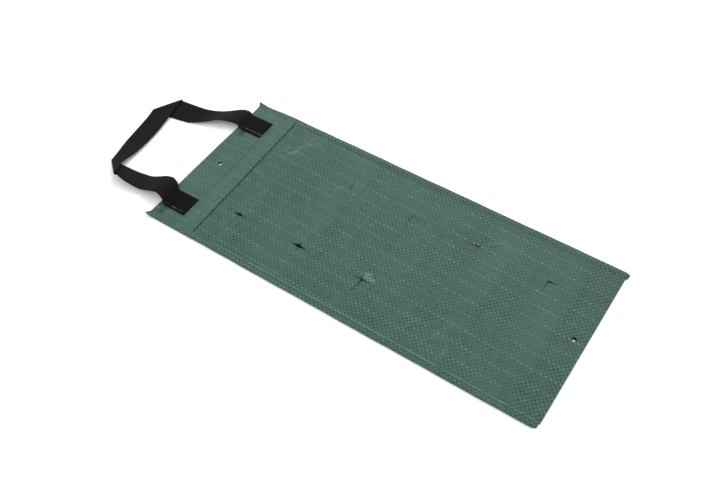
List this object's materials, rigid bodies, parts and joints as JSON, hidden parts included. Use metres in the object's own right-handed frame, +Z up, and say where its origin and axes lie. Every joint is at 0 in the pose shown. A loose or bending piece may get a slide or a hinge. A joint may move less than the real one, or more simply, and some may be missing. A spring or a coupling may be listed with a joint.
{
  "type": "hanging planting bag",
  "caption": "Flat woven plastic bag with a webbing carry handle, folded mouth hem, stitched side seams and cross-cut openings in its front.",
  "frame": {"origin": "under the middle of the whole object, handle included, on the surface that it lies on", "axes": "+X across the bag, +Y from the closed bottom to the handle, +Z up, out of the front panel"},
  "size_m": [0.2, 0.5601, 0.0141],
  "materials": {
    "woven_tape": "satin green woven plastic tape, plain weave",
    "webbing": "matt black woven webbing",
    "green_thread": "satin green sewing thread",
    "black_thread": "matt black sewing thread"
  },
  "bodies": {
    "bag": {"back_panel": "woven_tape", "back_hem": "woven_tape", "bottom_fold": "woven_tape", "front_panel": "woven_tape", "side_seam_left": "woven_tape", "side_seam_right": "woven_tape", "seam_thread_left": "green_thread", "seam_thread_right": "green_thread"},
    "mouth_lip": {"front_hem": "woven_tape", "hem_thread": "green_thread", "handle_tab_left": "webbing", "handle_tab_right": "webbing", "tab_thread_left": "black_thread", "tab_thread_right": "black_thread"},
    "handle": {"handle_strap": "webbing"},
    "slit_left_1_ne": {"slit_left_1_ne": "woven_tape"},
    "slit_left_1_nw": {"slit_left_1_nw": "woven_tape"},
    "slit_left_1_sw": {"slit_left_1_sw": "woven_tape"},
    "slit_left_1_se": {"slit_left_1_se": "woven_tape"},
    "slit_left_2_ne": {"slit_left_2_ne": "woven_tape"},
    "slit_left_2_nw": {"slit_left_2_nw": "woven_tape"},
    "slit_left_2_sw": {"slit_left_2_sw": "woven_tape"},
    "slit_left_2_se": {"slit_left_2_se": "woven_tape"},
    "slit_left_3_ne": {"slit_left_3_ne": "woven_tape"},
    "slit_left_3_nw": {"slit_left_3_nw": "woven_tape"},
    "slit_left_3_sw": {"slit_left_3_sw": "woven_tape"},
    "slit_left_3_se": {"slit_left_3_se": "woven_tape"},
    "slit_left_4_ne": {"slit_left_4_ne": "woven_tape"},
    "slit_left_4_nw": {"slit_left_4_nw": "woven_tape"},
    "slit_left_4_sw": {"slit_left_4_sw": "woven_tape"},
    "slit_left_4_se": {"slit_left_4_se": "woven_tape"},
    "slit_left_5_ne": {"slit_left_5_ne": "woven_tape"},
    "slit_left_5_nw": {"slit_left_5_nw": "woven_tape"},
    "slit_left_5_sw": {"slit_left_5_sw": "woven_tape"},
    "slit_left_5_se": {"slit_left_5_se": "woven_tape"},
    "slit_right_1_ne": {"slit_right_1_ne": "woven_tape"},
    "slit_right_1_nw": {"slit_right_1_nw": "woven_tape"},
    "slit_right_1_sw": {"slit_right_1_sw": "woven_tape"},
    "slit_right_1_se": {"slit_right_1_se": "woven_tape"},
    "slit_right_2_ne": {"slit_right_2_ne": "woven_tape"},
    "slit_right_2_nw": {"slit_right_2_nw": "woven_tape"},
    "slit_right_2_sw": {"slit_right_2_sw": "woven_tape"},
    "slit_right_2_se": {"slit_right_2_se": "woven_tape"},
    "slit_right_3_ne": {"slit_right_3_ne": "woven_tape"},
    "slit_right_3_nw": {"slit_right_3_nw": "woven_tape"},
    "slit_right_3_sw": {"slit_right_3_sw": "woven_tape"},
    "slit_right_3_se": {"slit_right_3_se": "woven_tape"},
    "slit_right_4_ne": {"slit_right_4_ne": "woven_tape"},
    "slit_right_4_nw": {"slit_right_4_nw": "woven_tape"},
    "slit_right_4_sw": {"slit_right_4_sw": "woven_tape"},
    "slit_right_4_se": {"slit_right_4_se": "woven_tape"},
    "slit_right_5_ne": {"slit_right_5_ne": "woven_tape"},
    "slit_right_5_nw": {"slit_right_5_nw": "woven_tape"},
    "slit_right_5_sw": {"slit_right_5_sw": "woven_tape"},
    "slit_right_5_se": {"slit_right_5_se": "woven_tape"}
  },
  "joints": [
    {"name": "mouth_opens", "type": "hinge", "parent": "bag", "child": "mouth_lip", "pos_m": [0, 0.12385, 0.0019], "axis": [1, 0, 0], "range_deg": [0, 12]},
    {"name": "handle_swing", "type": "hinge", "parent": "mouth_lip", "child": "handle", "pos_m": [0, 0.1768, 0.0057], "axis": [1, 0, 0], "range_deg": [0, 90]},
    {"name": "slit_left_1", "type": "hinge", "parent": "bag", "child": "slit_left_1_ne", "pos_m": [-0.0404, 0.1021, 0.0019], "axis": [-0.7071, 0.7071, 0], "range_deg": [0, 75]},
    {"name": "slit_left_1_nw", "type": "hinge", "parent": "bag", "child": "slit_left_1_nw", "pos_m": [-0.0556, 0.1021, 0.0019], "axis": [-0.7071, -0.7071, 0], "range_deg": [0, 75]},
    {"name": "slit_left_1_sw", "type": "hinge", "parent": "bag", "child": "slit_left_1_sw", "pos_m": [-0.0556, 0.0869, 0.0019], "axis": [0.7071, -0.7071, 0], "range_deg": [0, 75]},
    {"name": "slit_left_1_se", "type": "hinge", "parent": "bag", "child": "slit_left_1_se", "pos_m": [-0.0404, 0.0869, 0.0019], "axis": [0.7071, 0.7071, 0], "range_deg": [0, 75]},
    {"name": "slit_left_2", "type": "hinge", "parent": "bag", "child": "slit_left_2_ne", "pos_m": [-0.0404, 0.0246, 0.0019], "axis": [-0.7071, 0.7071, 0], "range_deg": [0, 75]},
    {"name": "slit_left_2_nw", "type": "hinge", "parent": "bag", "child": "slit_left_2_nw", "pos_m": [-0.0556, 0.0246, 0.0019], "axis": [-0.7071, -0.7071, 0], "range_deg": [0, 75]},
    {"name": "slit_left_2_sw", "type": "hinge", "parent": "bag", "child": "slit_left_2_sw", "pos_m": [-0.0556, 0.0094, 0.0019], "axis": [0.7071, -0.7071, 0], "range_deg": [0, 75]},
    {"name": "slit_left_2_se", "type": "hinge", "parent": "bag", "child": "slit_left_2_se", "pos_m": [-0.0404, 0.0094, 0.0019], "axis": [0.7071, 0.7071, 0], "range_deg": [0, 75]},
    {"name": "slit_left_3", "type": "hinge", "parent": "bag", "child": "slit_left_3_ne", "pos_m": [-0.0404, -0.0529, 0.0019], "axis": [-0.7071, 0.7071, 0], "range_deg": [0, 75]},
    {"name": "slit_left_3_nw", "type": "hinge", "parent": "bag", "child": "slit_left_3_nw", "pos_m": [-0.0556, -0.0529, 0.0019], "axis": [-0.7071, -0.7071, 0], "range_deg": [0, 75]},
    {"name": "slit_left_3_sw", "type": "hinge", "parent": "bag", "child": "slit_left_3_sw", "pos_m": [-0.0556, -0.0681, 0.0019], "axis": [0.7071, -0.7071, 0], "range_deg": [0, 75]},
    {"name": "slit_left_3_se", "type": "hinge", "parent": "bag", "child": "slit_left_3_se", "pos_m": [-0.0404, -0.0681, 0.0019], "axis": [0.7071, 0.7071, 0], "range_deg": [0, 75]},
    {"name": "slit_left_4", "type": "hinge", "parent": "bag", "child": "slit_left_4_ne", "pos_m": [-0.0404, -0.1304, 0.0019], "axis": [-0.7071, 0.7071, 0], "range_deg": [0, 75]},
    {"name": "slit_left_4_nw", "type": "hinge", "parent": "bag", "child": "slit_left_4_nw", "pos_m": [-0.0556, -0.1304, 0.0019], "axis": [-0.7071, -0.7071, 0], "range_deg": [0, 75]},
    {"name": "slit_left_4_sw", "type": "hinge", "parent": "bag", "child": "slit_left_4_sw", "pos_m": [-0.0556, -0.1456, 0.0019], "axis": [0.7071, -0.7071, 0], "range_deg": [0, 75]},
    {"name": "slit_left_4_se", "type": "hinge", "parent": "bag", "child": "slit_left_4_se", "pos_m": [-0.0404, -0.1456, 0.0019], "axis": [0.7071, 0.7071, 0], "range_deg": [0, 75]},
    {"name": "slit_left_5", "type": "hinge", "parent": "bag", "child": "slit_left_5_ne", "pos_m": [-0.0404, -0.2079, 0.0019], "axis": [-0.7071, 0.7071, 0], "range_deg": [0, 75]},
    {"name": "slit_left_5_nw", "type": "hinge", "parent": "bag", "child": "slit_left_5_nw", "pos_m": [-0.0556, -0.2079, 0.0019], "axis": [-0.7071, -0.7071, 0], "range_deg": [0, 75]},
    {"name": "slit_left_5_sw", "type": "hinge", "parent": "bag", "child": "slit_left_5_sw", "pos_m": [-0.0556, -0.2231, 0.0019], "axis": [0.7071, -0.7071, 0], "range_deg": [0, 75]},
    {"name": "slit_left_5_se", "type": "hinge", "parent": "bag", "child": "slit_left_5_se", "pos_m": [-0.0404, -0.2231, 0.0019], "axis": [0.7071, 0.7071, 0], "range_deg": [0, 75]},
    {"name": "slit_right_1", "type": "hinge", "parent": "bag", "child": "slit_right_1_ne", "pos_m": [0.0566, 0.1021, 0.0019], "axis": [-0.7071, 0.7071, 0], "range_deg": [0, 75]},
    {"name": "slit_right_1_nw", "type": "hinge", "parent": "bag", "child": "slit_right_1_nw", "pos_m": [0.0414, 0.1021, 0.0019], "axis": [-0.7071, -0.7071, 0], "range_deg": [0, 75]},
    {"name": "slit_right_1_sw", "type": "hinge", "parent": "bag", "child": "slit_right_1_sw", "pos_m": [0.0414, 0.0869, 0.0019], "axis": [0.7071, -0.7071, 0], "range_deg": [0, 75]},
    {"name": "slit_right_1_se", "type": "hinge", "parent": "bag", "child": "slit_right_1_se", "pos_m": [0.0566, 0.0869, 0.0019], "axis": [0.7071, 0.7071, 0], "range_deg": [0, 75]},
    {"name": "slit_right_2", "type": "hinge", "parent": "bag", "child": "slit_right_2_ne", "pos_m": [0.0566, 0.0246, 0.0019], "axis": [-0.7071, 0.7071, 0], "range_deg": [0, 75]},
    {"name": "slit_right_2_nw", "type": "hinge", "parent": "bag", "child": "slit_right_2_nw", "pos_m": [0.0414, 0.0246, 0.0019], "axis": [-0.7071, -0.7071, 0], "range_deg": [0, 75]},
    {"name": "slit_right_2_sw", "type": "hinge", "parent": "bag", "child": "slit_right_2_sw", "pos_m": [0.0414, 0.0094, 0.0019], "axis": [0.7071, -0.7071, 0], "range_deg": [0, 75]},
    {"name": "slit_right_2_se", "type": "hinge", "parent": "bag", "child": "slit_right_2_se", "pos_m": [0.0566, 0.0094, 0.0019], "axis": [0.7071, 0.7071, 0], "range_deg": [0, 75]},
    {"name": "slit_right_3", "type": "hinge", "parent": "bag", "child": "slit_right_3_ne", "pos_m": [0.0566, -0.0529, 0.0019], "axis": [-0.7071, 0.7071, 0], "range_deg": [0, 75]},
    {"name": "slit_right_3_nw", "type": "hinge", "parent": "bag", "child": "slit_right_3_nw", "pos_m": [0.0414, -0.0529, 0.0019], "axis": [-0.7071, -0.7071, 0], "range_deg": [0, 75]},
    {"name": "slit_right_3_sw", "type": "hinge", "parent": "bag", "child": "slit_right_3_sw", "pos_m": [0.0414, -0.0681, 0.0019], "axis": [0.7071, -0.7071, 0], "range_deg": [0, 75]},
    {"name": "slit_right_3_se", "type": "hinge", "parent": "bag", "child": "slit_right_3_se", "pos_m": [0.0566, -0.0681, 0.0019], "axis": [0.7071, 0.7071, 0], "range_deg": [0, 75]},
    {"name": "slit_right_4", "type": "hinge", "parent": "bag", "child": "slit_right_4_ne", "pos_m": [0.0566, -0.1304, 0.0019], "axis": [-0.7071, 0.7071, 0], "range_deg": [0, 75]},
    {"name": "slit_right_4_nw", "type": "hinge", "parent": "bag", "child": "slit_right_4_nw", "pos_m": [0.0414, -0.1304, 0.0019], "axis": [-0.7071, -0.7071, 0], "range_deg": [0, 75]},
    {"name": "slit_right_4_sw", "type": "hinge", "parent": "bag", "child": "slit_right_4_sw", "pos_m": [0.0414, -0.1456, 0.0019], "axis": [0.7071, -0.7071, 0], "range_deg": [0, 75]},
    {"name": "slit_right_4_se", "type": "hinge", "parent": "bag", "child": "slit_right_4_se", "pos_m": [0.0566, -0.1456, 0.0019], "axis": [0.7071, 0.7071, 0], "range_deg": [0, 75]},
    {"name": "slit_right_5", "type": "hinge", "parent": "bag", "child": "slit_right_5_ne", "pos_m": [0.0566, -0.2079, 0.0019], "axis": [-0.7071, 0.7071, 0], "range_deg": [0, 75]},
    {"name": "slit_right_5_nw", "type": "hinge", "parent": "bag", "child": "slit_right_5_nw", "pos_m": [0.0414, -0.2079, 0.0019], "axis": [-0.7071, -0.7071, 0], "range_deg": [0, 75]},
    {"name": "slit_right_5_sw", "type": "hinge", "parent": "bag", "child": "slit_right_5_sw", "pos_m": [0.0414, -0.2231, 0.0019], "axis": [0.7071, -0.7071, 0], "range_deg": [0, 75]},
    {"name": "slit_right_5_se", "type": "hinge", "parent": "bag", "child": "slit_right_5_se", "pos_m": [0.0566, -0.2231, 0.0019], "axis": [0.7071, 0.7071, 0], "range_deg": [0, 75]}
  ],
  "couplings": [
    {"joint": "slit_left_1_nw", "follows": "slit_left_1", "ratio": 1},
    {"joint": "slit_left_1_sw", "follows": "slit_left_1", "ratio": 1},
    {"joint": "slit_left_1_se", "follows": "slit_left_1", "ratio": 1},
    {"joint": "slit_left_2_nw", "follows": "slit_left_2", "ratio": 1},
    {"joint": "slit_left_2_sw", "follows": "slit_left_2", "ratio": 1},
    {"joint": "slit_left_2_se", "follows": "slit_left_2", "ratio": 1},
    {"joint": "slit_left_3_nw", "follows": "slit_left_3", "ratio": 1},
    {"joint": "slit_left_3_sw", "follows": "slit_left_3", "ratio": 1},
    {"joint": "slit_left_3_se", "follows": "slit_left_3", "ratio": 1},
    {"joint": "slit_left_4_nw", "follows": "slit_left_4", "ratio": 1},
    {"joint": "slit_left_4_sw", "follows": "slit_left_4", "ratio": 1},
    {"joint": "slit_left_4_se", "follows": "slit_left_4", "ratio": 1},
    {"joint": "slit_left_5_nw", "follows": "slit_left_5", "ratio": 1},
    {"joint": "slit_left_5_sw", "follows": "slit_left_5", "ratio": 1},
    {"joint": "slit_left_5_se", "follows": "slit_left_5", "ratio": 1},
    {"joint": "slit_right_1_nw", "follows": "slit_right_1", "ratio": 1},
    {"joint": "slit_right_1_sw", "follows": "slit_right_1", "ratio": 1},
    {"joint": "slit_right_1_se", "follows": "slit_right_1", "ratio": 1},
    {"joint": "slit_right_2_nw", "follows": "slit_right_2", "ratio": 1},
    {"joint": "slit_right_2_sw", "follows": "slit_right_2", "ratio": 1},
    {"joint": "slit_right_2_se", "follows": "slit_right_2", "ratio": 1},
    {"joint": "slit_right_3_nw", "follows": "slit_right_3", "ratio": 1},
    {"joint": "slit_right_3_sw", "follows": "slit_right_3", "ratio": 1},
    {"joint": "slit_right_3_se", "follows": "slit_right_3", "ratio": 1},
    {"joint": "slit_right_4_nw", "follows": "slit_right_4", "ratio": 1},
    {"joint": "slit_right_4_sw", "follows": "slit_right_4", "ratio": 1},
    {"joint": "slit_right_4_se", "follows": "slit_right_4", "ratio": 1},
    {"joint": "slit_right_5_nw", "follows": "slit_right_5", "ratio": 1},
    {"joint": "slit_right_5_sw", "follows": "slit_right_5", "ratio": 1},
    {"joint": "slit_right_5_se", "follows": "slit_right_5", "ratio": 1}
  ]
}
